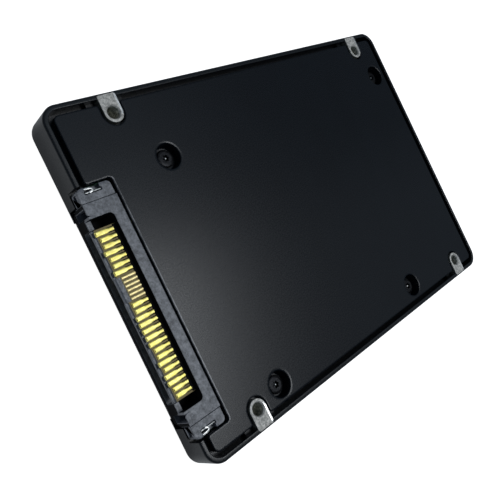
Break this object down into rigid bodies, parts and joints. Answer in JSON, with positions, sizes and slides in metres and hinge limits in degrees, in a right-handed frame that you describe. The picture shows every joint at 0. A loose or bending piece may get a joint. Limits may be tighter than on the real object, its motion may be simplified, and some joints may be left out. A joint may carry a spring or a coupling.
{
  "type": "solid state drive",
  "caption": "Flat 2.5-inch solid state drive in a thin metal case with a dropped-in lid, threaded mounting pads and an edge plug with gold contacts.",
  "frame": {"origin": "centre of the drive's footprint, on its label face", "axes": "+X runs along the drive away from the plug, +Y across it, +Z out of the mounting face"},
  "size_m": [0.1, 0.0698, 0.007],
  "materials": {
    "case_coat": "satin black coat on die-cast aluminium, bare machined metal on the four mounting pads",
    "lid_coat": "fine-grained satin black coat",
    "screw_steel": "black oxide",
    "plug_plastic": "glass-filled, slightly mottled",
    "contact_gold": "gold plate",
    "tinned_steel": "tin plate",
    "board_laminate": "solder mask",
    "capacitor_case": "moulded",
    "choke_ferrite": "matt",
    "gap_filler": "soft",
    "chip_epoxy": "moulded epoxy",
    "bare_aluminium": "machined faces of the casting, on the four mounting pads",
    "label_film": "blank satin film"
  },
  "bodies": {
    "root": {"backup_capacitor_1": "capacitor_case", "backup_capacitor_2": "capacitor_case", "backup_capacitor_3": "capacitor_case", "backup_capacitor_4": "capacitor_case", "backup_capacitor_5": "capacitor_case", "backup_capacitor_6": "capacitor_case", "blank_label": "label_film", "board_lock_left": "tinned_steel", "board_lock_right": "tinned_steel", "case_tub": "case_coat", "connector_housing": "plug_plastic", "controller_chip": "chip_epoxy", "cover_lid": "lid_coat", "cover_screw_1": "screw_steel", "cover_screw_2": "screw_steel", "cover_screw_3": "screw_steel", "cover_screw_4": "screw_steel", "dram_chip_1": "chip_epoxy", "dram_chip_2": "chip_epoxy", "flash_chip_1": "chip_epoxy", "flash_chip_2": "chip_epoxy", "flash_chip_3": "chip_epoxy", "flash_chip_4": "chip_epoxy", "flash_chip_5": "chip_epoxy", "flash_chip_6": "chip_epoxy", "flash_chip_7": "chip_epoxy", "flash_chip_8": "chip_epoxy", "lane_contacts_1": "contact_gold", "lane_contacts_2": "contact_gold", "lane_contacts_3": "contact_gold", "lane_contacts_4": "contact_gold", "main_board": "board_laminate", "power_chip": "chip_epoxy", "power_choke_1": "choke_ferrite", "power_choke_2": "choke_ferrite", "power_choke_3": "choke_ferrite", "power_contacts": "contact_gold", "sideband_contacts": "contact_gold", "signal_contacts": "contact_gold", "thermal_pad_controller": "gap_filler", "thermal_pad_lower_1": "gap_filler", "thermal_pad_lower_2": "gap_filler", "thermal_pad_upper_1": "gap_filler", "thermal_pad_upper_2": "gap_filler"}
  },
  "joints": []
}
